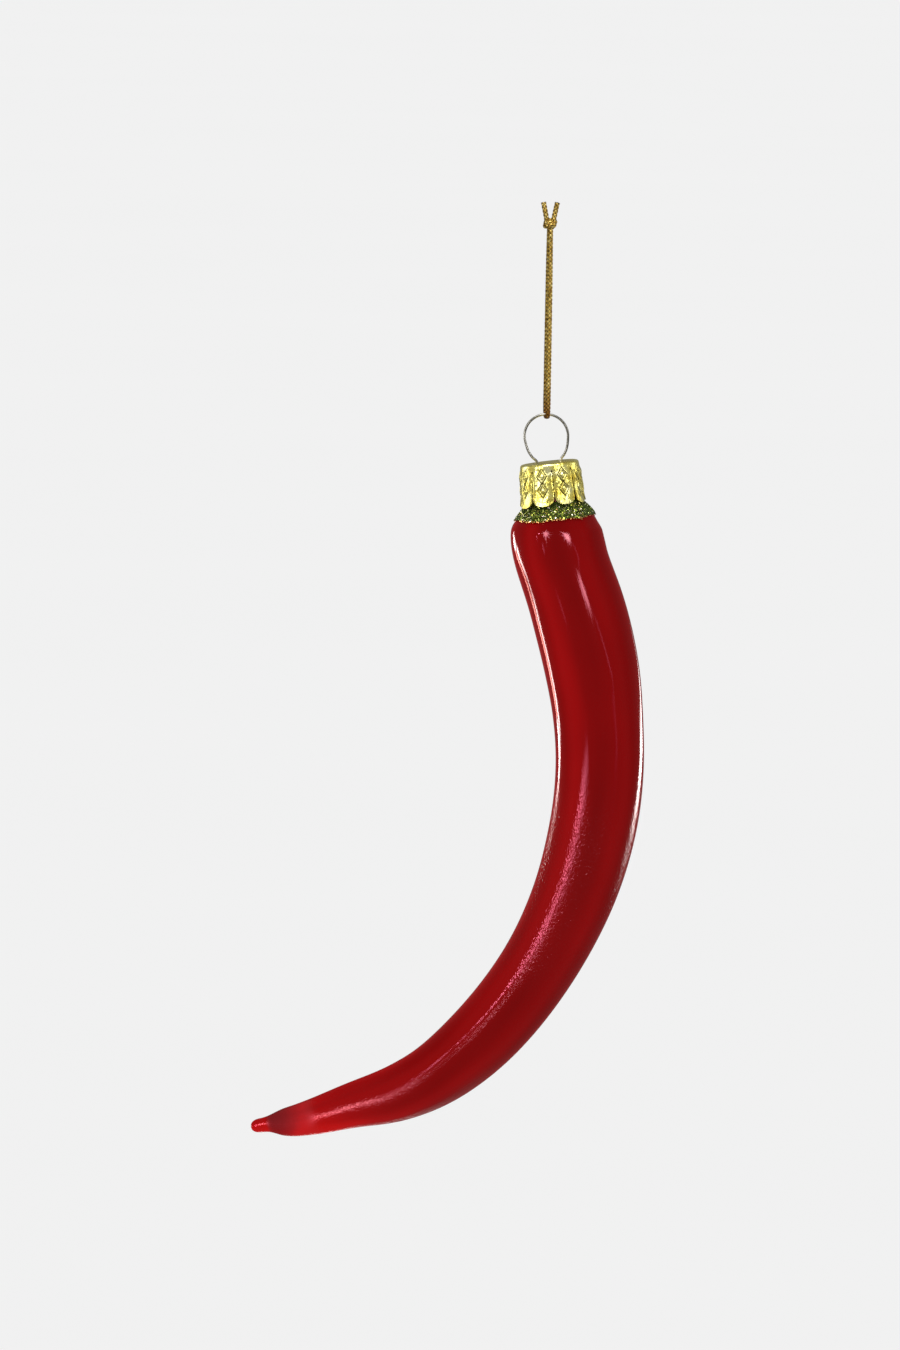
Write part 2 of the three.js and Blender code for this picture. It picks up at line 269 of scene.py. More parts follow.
class Finish(Nodes):
    """A material in the making. Values that are the same all over are set on its shader."""

    def __init__(self, name, values):
        self.material = bpy.data.materials.new(name)
        self.material.use_nodes = True
        super().__init__(self.material.node_tree)
        self.shader = self.tree.nodes["Principled BSDF"]
        for socket, value in values.items():
            self.shader.inputs[socket].default_value = value

    def feed(self, socket, amount):
        self.tree.links.new(amount.socket, self.shader.inputs[socket])

    def place(self):
        return self.node("ShaderNodeTexCoord", {}, {}, "Object")

    def stored(self, name, output="Fac"):
        return self.node("ShaderNodeAttribute", {"attribute_name": name}, {}, output)

    def grain(self, place, size, detail=2.0, roughness=0.5):
        """Noise from 0 to 1 whose patches are about size across, in the units of place."""
        inputs = {"Vector": place, "Scale": 1 / size, "Detail": detail, "Roughness": roughness}
        return self.node("ShaderNodeTexNoise", {}, inputs, "Fac")

    def ramp(self, amount, stops):
        return self.node("ShaderNodeValToRGB", {"stops": stops}, {"Fac": amount})

    def blend(self, share, first, second):
        """The first colour at share 0 and the second at 1."""
        full = [c if isinstance(c, Amount) else (*c, 1.0) for c in (first, second)]
        return self.node("ShaderNodeMix", {"data_type": "RGBA"}, {0: share, 6: full[0], 7: full[1]}, 2)

    def bump(self, height, distance, strength=1.0):
        inputs = {"Height": height, "Distance": distance, "Strength": strength}
        self.feed("Normal", self.node("ShaderNodeBump", {}, inputs))


def dress(piece, finish):
    piece.data.materials.clear()
    piece.data.materials.append(finish.material)


def select_only(pieces):
    bpy.ops.object.select_all(action="DESELECT")
    for piece in pieces:
        piece.select_set(True)
    bpy.context.view_layer.objects.active = pieces[0]


def join(pieces, name):
    select_only(pieces)
    bpy.ops.object.join()
    pieces[0].name = name
    return pieces[0]


def new_piece(name, corners, faces):
    mesh = bpy.data.meshes.new(name)
    mesh.from_pydata([tuple(corner) for corner in corners], [], faces)
    piece = bpy.data.objects.new(name, mesh)
    bpy.context.collection.objects.link(piece)
    return piece


def smooth(piece, degrees=180):
    """Shades the piece smooth, up to this angle between two faces."""
    select_only([piece])
    if degrees < 180:
        bpy.ops.object.shade_smooth_by_angle(angle=math.radians(degrees))
    else:
        bpy.ops.object.shade_smooth()


def settle(piece, kind, **settings):
    """Adds a modifier and applies it."""
    select_only([piece])
    modifier = piece.modifiers.new(kind.title(), kind)
    for name, value in settings.items():
        setattr(modifier, name, value)
    bpy.ops.object.modifier_apply(modifier=modifier.name)


def corners_of(piece):
    """The piece's vertices as rows of a table."""
    flat = np.empty(len(piece.data.vertices) * 3)
    piece.data.vertices.foreach_get("co", flat)
    return flat.reshape(-1, 3)


def move_corners(piece, corners):
    piece.data.vertices.foreach_set("co", np.asarray(corners, dtype=np.float32).ravel())
    piece.data.update()


def store(piece, name, kind, values):
    """Keeps a value for each vertex under a name that a material reads."""
    field = {"FLOAT": "value", "FLOAT_VECTOR": "vector", "FLOAT_COLOR": "color"}[kind]
    attribute = piece.data.attributes.new(name, kind, "POINT")
    attribute.data.foreach_set(field, np.asarray(values, dtype=np.float32).ravel())


def eased(value, low, high):
    """0 below low, 1 above high and smooth between them."""
    share = np.clip((value - low) / (high - low), 0, 1)
    return share * share * (3 - 2 * share)


def hump(value, middle, width):
    """1 at the middle, falling off smoothly on both sides."""
    return np.exp(-((value - middle) / width) ** 2)


def curve_through(points, steps):
    """Points close together on a smooth curve through the given ones."""
    given = np.array(points, dtype=float)
    padded = np.vstack([2 * given[0] - given[1], given, 2 * given[-1] - given[-2]])
    made = []
    for before, start, end, after in zip(padded, padded[1:], padded[2:], padded[3:]):
        pairs = ((before, start), (start, end), (end, after))
        first, second, third = [math.sqrt(np.linalg.norm(b - a)) for a, b in pairs]
        leave = (start - before) / first - (end - before) / (first + second) + (end - start) / second
        arrive = (end - start) / second - (after - start) / (second + third) + (after - end) / third
        for t in np.arange(steps) / steps:
            made.append(
                start * (2 * t**3 - 3 * t**2 + 1)
                + end * (3 * t**2 - 2 * t**3)
                + leave * second * (t**3 - 2 * t**2 + t)
                + arrive * second * (t**3 - t**2)
            )
    made.append(given[-1])
    return np.array(made)


def lengths_along(points):
    """The distance along the points to each one."""
    return np.concatenate([[0.0], np.cumsum(np.linalg.norm(np.diff(points, axis=0), axis=1))])


def draw_rings(name, rings, sides, filled=True):
    """A tube that stays in the XZ plane, drawn ring after ring. A ring is its middle, lean and radius."""
    bpy.ops.object.select_all(action="DESELECT")
    middle, lean, radius = rings[0]
    bpy.ops.mesh.primitive_circle_add(
        vertices=sides,
        radius=radius,
        location=middle,
        rotation=(0, lean, 0),
        fill_type="TRIFAN" if filled else "NOTHING",
    )
    tube = bpy.context.object
    tube.name = name
    bpy.ops.object.mode_set(mode="EDIT")
    bpy.ops.mesh.select_all(action="SELECT")
    for (last_middle, last_lean, last_radius), (middle, lean, radius) in zip(rings, rings[1:]):
        bpy.ops.mesh.extrude_region_move(TRANSFORM_OT_translate={"value": tuple(middle - last_middle)})
        bpy.ops.transform.rotate(value=last_lean - lean, orient_axis="Y", center_override=middle)
        growth = radius / last_radius
        bpy.ops.transform.resize(value=(growth, growth, growth), center_override=middle)
    bpy.ops.mesh.select_all(action="SELECT")
    bpy.ops.mesh.normals_make_consistent(inside=False)
    bpy.ops.object.mode_set(mode="OBJECT")
    bpy.ops.object.transform_apply(location=True, rotation=True, scale=True)
    return tube


def place_camera():
    look = Matrix.Rotation(math.radians(90) - camera_rise, 4, "X") @ Matrix.Rotation(camera_roll, 4, "Z")
    back = look.to_3x3() @ Vector((0, 0, 1))
    bpy.ops.object.camera_add()
    camera = bpy.context.object
    camera.matrix_world = Matrix.Translation(picture_middle + back * camera_distance) @ look
    camera.data.sensor_width = camera_sensor
    camera.data.lens = camera_sensor * camera_distance / picture_height
    camera.data.clip_end = camera_reach
    bpy.context.scene.camera = camera


def unit_rows(rows):
    return rows / np.linalg.norm(rows, axis=1)[:, None]


def sides_along(middle):
    """Two directions across the line at each of its places, carried along it without a twist."""
    heading = unit_rows(np.gradient(middle, axis=0))
    side = np.empty_like(heading)
    side[0] = np.cross(heading[0], (0.0, 1.0, 0.0) if abs(heading[0][1]) < 0.9 else (1.0, 0.0, 0.0))
    side[0] /= np.linalg.norm(side[0])
    for i in range(1, len(middle)):
        carried = side[i - 1] - heading[i] * np.dot(side[i - 1], heading[i])
        side[i] = carried / np.linalg.norm(carried)
    return side, np.cross(heading, side)


def tube_faces(first, rings, sides):
    """The faces of a closed tube whose corners follow each other from the first, ring after ring."""
    faces = []
    for i in range(rings - 1):
        row, below = first + i * sides, first + (i + 1) * sides
        for j in range(sides):
            k = (j + 1) % sides
            faces.append((row + j, row + k, below + k, below + j))
    faces.append(tuple(first + j for j in reversed(range(sides))))
    faces.append(tuple(first + (rings - 1) * sides + j for j in range(sides)))
    return faces


def plaited(name, route):
    """A round plait of flat strands, half of them turning each way, along a smooth route."""
    line = curve_through(route, route_steps)
    along = lengths_along(line)
    count = int(along[-1] / mm * strand_rings_each_mm)
    places = np.linspace(0, along[-1], count)
    middle = np.stack([np.interp(places, along, line[:, axis]) for axis in range(3)], axis=1)
    side, other = sides_along(middle)
    mid_radius = cord_diameter / 2 - strand_thickness / 2 - strand_weave
    section = np.arange(strand_sides) / strand_sides * 2 * math.pi
    crossing = np.cos(2 * math.pi * strands_each_way * places / plait_pitch)
    corners, faces, crevice_shades, spots = [], [], [], []
    for way in (1, -1):
        weave = mid_radius + way * strand_weave * crossing
        for strand in range(strands_each_way):
            turn = way * 2 * math.pi * places / plait_pitch + 2 * math.pi * strand / strands_each_way
            outward = side * np.cos(turn)[:, None] + other * np.sin(turn)[:, None]
            centre = middle + outward * weave[:, None]
            run = unit_rows(np.gradient(centre, axis=0))
            across = unit_rows(np.cross(run, outward))
            faces += tube_faces(len(corners) * count * strand_sides, count, strand_sides)
            rings = (
                centre[:, None, :]
                + outward[:, None, :] * (np.cos(section) * strand_thickness / 2)[None, :, None]
                + across[:, None, :] * (np.sin(section) * strand_width / 2)[None, :, None]
            )
            corners.append(rings.reshape(-1, 3))
            # Painted shade: 0 on a strand's outer face where it crosses over, rising to 1 on its inner face
            # and where it dips under the others
            under = 0.5 - 0.5 * way * crossing
            crevice_shades.append((under[:, None] * 0.75 + 0.5 - 0.5 * np.cos(section)[None, :]).ravel())
            spots.append(np.repeat(np.abs(places - along[-1] / 2), strand_sides))
    piece = new_piece(name, np.concatenate(corners), faces)
    # sunk: how far each corner lies in the plait's crevices, which the gold thread turns into painted shade
    store(piece, "sunk", "FLOAT", np.clip(np.concatenate(crevice_shades), 0, 1))
    store(piece, "from_bight", "FLOAT", np.concatenate(spots))
    smooth(piece)
    return piece


def gold_thread():
    finish = Finish("gold thread", {"Metallic": 0.85, "Specular IOR Level": 0.6})
    place = finish.place()
    tone = finish.grain(place, 0.5 * mm, detail=3)
    colour = finish.ramp(tone, [
        (0.32, (0.2, 0.09, 0.01)),
        (0.5, (0.74, 0.46, 0.075)),
        (0.66, (1.0, 0.82, 0.3)),
    ])
    # Painted shade: the sunk parts of the strands, in the plait's crevices, go dark brown
    sunk = finish.step(finish.stored("sunk"), 0.05, 0.65)
    # The loop goes darker and browner near its lowest place at the wire ring
    near_ring = 1.0 - finish.step(finish.stored("from_bight"), 1.5 * mm, 10 * mm)
    darker_near_ring = finish.blend(near_ring * 0.85, colour, (0.3, 0.1, 0.012))
    finish.feed("Base Color", finish.blend(sunk * 0.93, darker_near_ring, (0.035, 0.018, 0.003)))
    finish.feed("Roughness", 0.22 + 0.2 * finish.grain(place, 0.2 * mm))
    finish.bump(finish.grain(place, 0.08 * mm), 0.012 * mm, 0.6)
    return finish


def make_cord():
    loop = plaited("cord_plait", cord_route)
    corners = corners_of(loop)
    under_wire = corners[:, 2] < bight_top
    corners[under_wire, 2] = bight_top + (corners[under_wire, 2] - bight_top) * bight_squeeze
    move_corners(loop, corners)
    length = float(lengths_along(curve_through(cord_route, route_steps))[-1])
    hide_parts("cord_loop")
    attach(loop, "cord")
    return loop, length


def make_knot():
    """Two turns of the cord round both strands, with the two ends standing up from them."""
    middle = knot_gap + knot_height / 2
    wrap = []
    for i in range(knot_points):
        share = i / (knot_points - 1)
        angle = 2 * math.pi * knot_turns * share + knot_start
        radius = knot_wrap_radius * (1 - knot_dive * (1 - math.sin(math.pi * share) ** 0.25))
        lift = (share - 0.5) * knot_spread + knot_slant * math.sin(angle + 0.7)
        wrap.append(Vector((radius * math.cos(angle), radius * math.sin(angle), middle + lift)))
    pieces = [plaited("knot_wrap", wrap)]
    rise = tail_top - middle
    for side in (-1, 1):
        foot = Vector((side * tail_foot[0], -side * tail_foot[1], middle - tail_sink))
        tail = []
        for share in (0.0, 0.25, 0.5, 0.75, 1.0):
            across = side * math.tan(tail_splay) * share * rise
            bow = side * tail_bow * math.sin(3 * share)
            tail.append(foot + Vector((across, bow, share * (rise + tail_sink))))
        pieces.append(plaited("knot_tail", tail))
    knot = join(pieces, "tied_knot")
    far = [hang_drop] * len(knot.data.vertices)  # so that the knot doesn't darken as the loop does near the ring
    knot.data.attributes["from_bight"].data.foreach_set("value", far)
    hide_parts("cord_knot")
    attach(knot, "cord")
    return knot


# The pod's axis in the model's frame: places close together, the distance down to each, and its lean
axis_line = np.array([
    tuple(neck @ Vector((across * mm, 0, up * mm)))
    for across, up in curve_through(pod_axis_points, axis_steps)
])
axis_along = lengths_along(axis_line)
axis_heading = np.gradient(axis_line, axis=0)
axis_lean = np.arctan2(-axis_heading[:, 0], -axis_heading[:, 2])
pod_length = axis_along[-1]
outline = curve_through([(along * mm, radius * mm) for along, radius in pod_outline], outline_steps)


def on_axis(along):
    """The place on the pod's axis at a distance from the mouth, and its lean."""
    x = np.interp(along, axis_along, axis_line[:, 0])
    z = np.interp(along, axis_along, axis_line[:, 2])
    return Vector((x, 0, z)), float(np.interp(along, axis_along, axis_lean))


def pod_radius(along):
    return np.interp(along, outline[:, 0], outline[:, 1])


def pod_ring(along, radius):
    middle, lean = on_axis(along)
    return middle, lean, float(radius)


def places_on_pod(corners):
    """For each corner: the distance down the axis, the angle round it and the distance from it."""
    flat = corners[:, [0, 2]]
    line = axis_line[:, [0, 2]]
    nearest = np.empty(len(flat), dtype=int)
    for start in range(0, len(flat), 4000):
        part = flat[start:start + 4000]
        gaps = (part[:, None, 0] - line[None, :, 0]) ** 2 + (part[:, None, 1] - line[None, :, 1]) ** 2
        nearest[start:start + 4000] = gaps.argmin(axis=1)
    lean = axis_lean[nearest]
    away = flat - line[nearest]
    across = away[:, 0] * np.cos(lean) - away[:, 1] * np.sin(lean)
    return axis_along[nearest], np.arctan2(across, corners[:, 1]), np.hypot(across, corners[:, 1])


def groove_depth(along):
    full = neck_length + neck_radius
    rise = eased(along, neck_length, full)
    settled = eased(along, full, pod_length / 3)
    fade = 1 - eased(along / pod_length, *groove_fade)
    return rise * fade * (shoulder_groove + (body_groove - shoulder_groove) * settled)


def valley_at(angle):
    """1 in the middle of a valley and 0 on a ridge."""
    return (1 + np.cos(ridge_count * angle)) / 2


def lean_tail(piece):
    """Lowers the front of the tail against its middle, so that its face looks up a little."""
    corners = corners_of(piece)
    down = places_on_pod(corners)[0] / pod_length
    share = eased(down, *tail_lean_start) * (1 - eased(down, *tail_lean_end))
    corners[:, 2] -= tail_lean * share * np.clip(-corners[:, 1], 0, None)
    move_corners(piece, corners)


def press_grooves(piece):
    """Presses the soft valleys between the ridges into a shape drawn round the pod's axis."""
    corners = corners_of(piece)
    along, angle, radius = places_on_pod(corners)
    depth = groove_depth(along) * valley_at(angle)
    lean = np.interp(along, axis_along, axis_lean)
    inward = -depth * np.minimum(1.0, radius / (1 * mm))
    corners[:, 0] += inward * np.sin(angle) * np.cos(lean)
    corners[:, 1] += inward * np.cos(angle)
    corners[:, 2] -= inward * np.sin(angle) * np.sin(lean)
    move_corners(piece, corners)


def make_pod():
    """One skin of rings: up inside the glass, over the lip of the mouth and down outside to the bead.

    A ring is its distance down the axis and its radius. They lie close together where the outline bends.
    """
    seal = pod_length - tip_seal
    inside = [(seal, 0.2 * mm), (seal - 0.5 * mm, 0.75 * mm)]
    for along in np.arange(seal - 2 * mm, 0.4 * mm, -3.5 * mm):
        inside.append((along, pod_radius(along) - glass_wall))
    lip_radius = glass_wall / 2
    lip_middle = neck_radius - lip_radius
    lip = [(0.3 * mm - lip_radius * math.sin(turn), lip_middle - lip_radius * math.cos(turn))
           for turn in np.linspace(0, math.pi, 6)]
    stations = np.concatenate([  # in millimetres
        np.linspace(1.5, 6.3, 4),
        np.arange(7.0, 14.0, 0.7),
        np.arange(14.5, 22.0, 1.5),
        np.arange(23.0, 163.0, 2.8),
        np.arange(163.5, 171.3, 0.7),
        (171.65, 172.05, 172.35, 172.6, 172.78),
    ]) * mm
    outside = [(along, pod_radius(along)) for along in stations]
    end = [(pod_length - 0.03 * mm, 0.12 * mm)]
    pod = draw_rings("glass_shell", [pod_ring(*ring) for ring in inside + lip + outside + end], pod_sides)
    press_grooves(pod)
    settle(pod, "SUBSURF", levels=2, render_levels=2)
    along, angle, radius = places_on_pod(corners_of(pod))
    lean_tail(pod)
    # valley: how deep the groove lies here, which the glass's material turns into painted shade
    store(pod, "valley", "FLOAT", valley_at(angle) * np.minimum(1.0, groove_depth(along) / body_groove))
    store(pod, "down_pod", "FLOAT", along / pod_length)
    # side: from -1 to 1 across the axis, which the glass's material uses to paint light and shade on one side
    store(pod, "side", "FLOAT", np.sin(angle) * np.minimum(1.0, radius / pod_radius(along)))
    turned = np.stack([np.sin(angle), np.cos(angle), along / (60 * mm)], axis=1)
    store(pod, "streak", "FLOAT_VECTOR", turned)
    smooth(pod)
    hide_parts("glass_pod")
    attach(pod, "pod")
    return pod


def red_lacquered_glass():
    """Deep red, paler towards the tip, smoky before the bead and grainy on the lower half. Painted shade
    darkens the groove valleys and the neck under the cap, and painted light brightens the left of the body
    and the lower side of the tail.
    """
    finish = Finish("red lacquered glass", {"Metallic": 0.06, "IOR": 1.22, "Specular IOR Level": 0.5})
    place = finish.place()
    down = finish.stored("down_pod")
    side = finish.stored("side")
    streak = finish.grain(finish.stored("streak", "Vector"), 0.5, detail=2, roughness=0.4)
    cloud = finish.grain(place, 16 * mm, detail=2)
    valley = finish.stored("valley")
    tip = finish.step(down, 0.78, 0.95)
    smoky = finish.step(down, 0.935, 0.972) - finish.step(down, 0.974, 0.984)
    # Random streaks and clouds of tone, with painted shade in the groove valleys and a painted light that
    # makes the left of the body brighter and its right darker
    light = streak * 0.3 + cloud * 0.2 - valley * 0.25 - side * 0.14
    # Paler towards the tip, with painted light that brightens the tail's lower side, and smoky before the
    # bead
    colour = finish.ramp(light + tip * (0.4 + side * 0.35) - smoky * 0.6 + 0.35, [
        (0.1, (0.17, 0.0006, 0.0008)),
        (0.5, (0.27, 0.0012, 0.0016)),
        (0.8, (0.4, 0.0022, 0.003)),
        (1.0, (0.58, 0.0034, 0.0036)),
    ])
    # Painted shade: the neck under the cap goes nearly black
    under_cap = 1.0 - finish.step(down, 0.033, 0.042)
    finish.feed("Base Color", finish.blend(under_cap, colour, (0.05, 0.009, 0.006)))
    smooth_bend = finish.step(down, 0.59, 0.66) - finish.step(down, 0.76, 0.83)
    grainy = finish.step(down, 0.33, 0.46) * (1.0 - smooth_bend * 0.75)
    soft_end = finish.step(down, 0.915, 0.94) - finish.step(down, 0.975, 0.983)
    low_side = finish.step(side, 0.5, 0.9)
    dull_below = (finish.step(down, 0.7, 0.76) - finish.step(down, 0.88, 0.91)) * low_side
    dull = soft_end * (1.0 - low_side) * 0.65 + dull_below * 0.35
    finish.feed("Roughness", 0.07 + grainy * 0.08 + dull)
    peel = finish.grain(place, 0.5 * mm, detail=1) * grainy * (1.0 - finish.step(down, 0.74, 0.86) * 0.5)
    finish.bump(peel, 0.11 * mm, 0.8)
    return finish


def make_collar():
    """The skin of glue on the shoulder, its lower edge wandering a little."""
    stations = np.linspace(collar_top, collar_bottom, collar_rings)
    rings = [pod_ring(along, pod_radius(along) + glue_lift) for along in stations]
    collar = draw_rings("glitter_glue", rings, collar_sides, filled=False)
    press_grooves(collar)
    corners = corners_of(collar)
    along, angle, _ = places_on_pod(corners)
    lean = np.interp(along, axis_along, axis_lean)
    shift = eased(along, collar_top, collar_bottom) * wander_at(angle)
    corners[:, 0] -= shift * np.sin(lean)
    corners[:, 2] -= shift * np.cos(lean)
    move_corners(collar, corners)
    settle(collar, "SOLIDIFY", thickness=glue_thickness, offset=1.0)
    settle(collar, "SUBSURF", levels=1, render_levels=1)
    corners = corners_of(collar)
    normals = np.empty(len(corners) * 3)
    collar.data.vertices.foreach_get("normal", normals)
    lumps = np.array([noise.noise(Vector(corner) / glue_lump) for corner in corners])
    corners += normals.reshape(-1, 3) * (lumps * glue_lump_height)[:, None]
    move_corners(collar, corners)
    smooth(collar)
    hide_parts("glitter_collar")
    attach(collar, "pod")
    return collar


def wander_at(angle):
    """How far the glue's lower edge runs past its even line."""
    return (0.16 * np.sin(2 * angle + 0.6) + 0.12 * np.sin(5 * angle + 2.0) + 0.07 * np.sin(11 * angle)) * mm


def green_glue():
    finish = Finish("green glue", {"Roughness": 0.6, "Specular IOR Level": 0.1})
    place = finish.place()
    colour = finish.ramp(finish.grain(place, 0.35 * mm, detail=3), [
        (0.35, (0.008, 0.012, 0.001)),
        (0.6, (0.035, 0.055, 0.004)),
        (0.75, (0.12, 0.15, 0.02)),
    ])
    finish.feed("Base Color", colour)
    finish.bump(finish.grain(place, 0.25 * mm), 0.1 * mm, 0.6)
    return finish


def place_on_collar(along, angle, lift):
    """A place above the glue's skin on the shoulder, and the direction that it faces."""
    middle, lean = on_axis(along)
    slope = math.atan2(pod_radius(along + 0.3 * mm) - pod_radius(along - 0.3 * mm), 0.6 * mm)
    outward = Vector((
        math.sin(angle) * math.cos(lean), math.cos(angle), -math.sin(angle) * math.sin(lean),
    ))
    up = Vector((math.sin(lean), 0, math.cos(lean)))
    facing = (outward * math.cos(slope) + up * math.sin(slope)).normalized()
    radius = float(pod_radius(along)) - float(groove_depth(along) * valley_at(angle))
    return middle + outward * radius + facing * lift, facing


def flake_tone(draw, at_edge):
    greens = [(0.05, 0.08, 0.006), (0.1, 0.16, 0.012), (0.22, 0.32, 0.03), (0.42, 0.52, 0.1)]
    yellow, copper, pale = (0.75, 0.55, 0.12), (0.9, 0.5, 0.16), (0.95, 1.0, 0.65)
    pick = draw.random()
    if at_edge:
        red, green, blue = draw.choice((yellow, copper, copper))
    elif pick < gold_flakes:
        red, green, blue = draw.choice((yellow, pale, pale))
    else:
        red, green, blue = draw.choice(greens)
    shade = draw.uniform(0.55, 1.05)
    return red * shade, green * shade * 0.88, blue * shade, 1.0


def flake_faces(first):
    """The faces of one flake, whose twelve corners follow each other from the first."""
    faces = [tuple(first + k for k in reversed(range(6))), tuple(first + 6 + k for k in range(6))]
    for k in range(6):
        after = (k + 1) % 6
        faces.append((first + k, first + after, first + 6 + after, first + 6 + k))
    return faces


def make_glitter():
    """Six-sided flakes at all slants in the glue, with a line of gold ones along its lower edge."""
    draw = random.Random(7)
    corners, faces, tones = [], [], []
    for i in range(flake_count):
        at_edge = i < flake_count * edge_flakes
        angle = draw.uniform(-math.pi, math.pi)
        low = collar_bottom + float(wander_at(angle))
        if at_edge:
            along = low + draw.uniform(-0.12, 0.22) * mm
        else:
            along = collar_top - 0.1 * mm + (low - collar_top + 0.1 * mm) * math.sqrt(draw.random())
        sunk = glue_thickness * (0.2 if at_edge else 0.6)
        lift = glue_lift + sunk + draw.uniform(0, 0.14) * mm
        centre, facing = place_on_collar(along, angle, lift)
        slant = Vector([draw.gauss(0, flake_slant) for axis in range(3)])
        facing = (facing + slant).normalized()
        first_edge = facing.orthogonal().normalized()
        second_edge = facing.cross(first_edge)
        size = flake_radius * draw.uniform(0.7, 1.25)
        spin = draw.uniform(0, math.pi / 3)
        faces += flake_faces(len(corners))
        for face_side in (-0.5, 0.5):
            face_middle = centre + facing * (face_side * flake_thickness)
            for turn in [spin + k * math.pi / 3 for k in range(6)]:
                towards = first_edge * math.cos(turn) + second_edge * math.sin(turn)
                corners.append(face_middle + towards * size)
        tones.extend([flake_tone(draw, at_edge)] * 12)
    flakes = new_piece("glitter_flakes", corners, faces)
    store(flakes, "flake_colour", "FLOAT_COLOR", tones)
    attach(flakes, "pod")
    return flakes


def glitter_film():
    finish = Finish("glitter film", {"Metallic": 0.9})
    finish.feed("Base Color", finish.stored("flake_colour", "Color"))
    finish.feed("Roughness", 0.1 + 0.2 * finish.grain(finish.place(), 0.3 * mm))
    return finish


def emboss(across, drop):
    """How far the stamped sheet stands out at a place on a petal, and how much painted shade darkens its
    creases.
    """
    lift = np.zeros_like(drop)
    crease = np.zeros_like(drop)
    for centre in diamond_drops:
        reach = np.abs(across) / diamond_half_width + np.abs(drop - centre) / diamond_half_height
        lift += frame_height * hump(reach, 0.8, 0.13)
        lift -= outer_groove * hump(reach, 1.05, 0.1)
        lift -= inner_groove * hump(reach, 0.54, 0.1)
        lift += pyramid_height * np.clip(1 - reach / 0.45, 0, 1)
        crease += hump(reach, 1.05, 0.17) + 0.9 * hump(reach, 0.54, 0.13)
    for side in (-1, 1):
        away = np.hypot(across - side * dot_spacing, drop - sum(diamond_drops) / 2)
        lift += dot_height * hump(away, 0, 0.24 * mm)
        crease += 0.6 * hump(away, 0.34 * mm, 0.1 * mm)
    return lift, np.clip(crease, 0, 1)


def make_petal(index, draw):
    """One ninth of the cap: a sheet from the middle of the top down to a rounded petal tip."""
    bpy.ops.object.select_all(action="DESELECT")
    bpy.ops.mesh.primitive_grid_add(x_subdivisions=petal_columns, y_subdivisions=petal_rows, size=2)
    petal = bpy.context.object
    grid = corners_of(petal)
    across_share = grid[:, 0]
    down_share = (1 - grid[:, 1]) / 2
    half_pitch = math.pi / petal_count
    corner_arc = cap_corner * math.pi / 2
    wall = cap_height - cap_corner
    tip_fall = petal_tip * (1 - np.sqrt(np.clip(1 - np.abs(across_share) ** 2.2, 0, 1)))
    reach = corner_arc + wall * (1 + draw.uniform(-0.03, 0.03)) - tip_fall
    run = down_share * reach
    turn = np.clip(run / corner_arc, 0, 1) * math.pi / 2
    down_wall = np.clip(run - corner_arc, 0, None)
    drop = np.where(run < corner_arc, cap_corner * (1 - np.cos(turn)), cap_corner + down_wall)
    radius = cap_radius - cap_corner + cap_corner * np.sin(turn) + cap_flare * down_wall / wall
    half_width = radius * half_pitch
    open_share = eased(drop, slit_top, slit_top + 0.9 * mm)
    waist = np.sin(math.pi * (drop - diamond_drops[0]) / (diamond_drops[1] - diamond_drops[0])) ** 2
    notch = slit_notch * np.exp(-((drop - slit_top - 0.1 * mm) / (0.22 * mm)) ** 4)
    half_width = half_width - open_share * (slit_width / 2 + waist * petal_waist) - notch
    across = across_share * half_width
    lift, crease = emboss(across, drop)
    lift = lift * eased(drop, cap_corner * 0.8, 1.5 * mm)
    curl = open_share * petal_curl * np.abs(across_share) ** 2
    crown = petal_crown * open_share * (1 - across_share ** 8)
    below_slit = np.clip(drop - slit_top, 0, None)
    lean_out = draw.uniform(-0.03, 0.03) * below_slit
    twist = draw.uniform(-0.05, 0.05) * below_slit * across_share
    past_bend = np.clip((drop - petal_bend) / (cap_height - petal_bend), 0, 1)
    flick = draw.uniform(0.1, 0.3) * mm * past_bend ** 2
    outward = radius + lift + curl + crown + lean_out + twist + flick
    angle = petal_turn + (index + 0.5) * 2 * half_pitch + across / radius
    corners = np.stack([outward * np.sin(angle), -outward * np.cos(angle), -drop], axis=1)
    move_corners(petal, corners)
    store(petal, "crease", "FLOAT", crease)
    return petal


def make_cap():
    """The petals welded side by side, with the flat top closed from its edge to the middle."""
    draw = random.Random(3)
    cap = join([make_petal(i, draw) for i in range(petal_count)], "stamped_cap")
    bpy.ops.object.mode_set(mode="EDIT")
    bpy.ops.mesh.select_all(action="SELECT")
    bpy.ops.mesh.remove_doubles(threshold=0.01 * mm)
    bpy.ops.mesh.select_all(action="DESELECT")
    bpy.ops.object.mode_set(mode="OBJECT")
    for edge in cap.data.edges:
        edge.select = all(abs(cap.data.vertices[v].co.z) < 0.001 * mm for v in edge.vertices)
    bpy.ops.object.mode_set(mode="EDIT")
    for share in top_rings:
        bpy.ops.mesh.extrude_region_move(TRANSFORM_OT_translate={"value": (0, 0, 0)})
        bpy.ops.transform.resize(value=(share, share, 1), center_override=(0, 0, 0))
    bpy.ops.mesh.merge(type="CENTER")
    bpy.ops.mesh.select_all(action="SELECT")
    bpy.ops.mesh.normals_make_consistent(inside=False)
    bpy.ops.object.mode_set(mode="OBJECT")
    settle(cap, "SOLIDIFY", thickness=cap_sheet, offset=-1.0)
    cut_wire_holes(cap)
    cap.data.transform(neck)
    cap.data.update()
    smooth(cap, 50)
    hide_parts("crown_cap")
    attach(cap, "cap")
    return cap


def cut_wire_holes(cap):
    for side in (-1, 1):
        bpy.ops.object.select_all(action="DESELECT")
        bpy.ops.mesh.primitive_cylinder_add(
            vertices=hole_sides,
            radius=hole_radius,
            depth=2 * mm,
            location=(side * hole_spacing / 2, 0, 0),
        )
        drill = bpy.context.object
        settle(cap, "BOOLEAN", operation="DIFFERENCE", object=drill, solver="EXACT")
        bpy.data.objects.remove(drill)


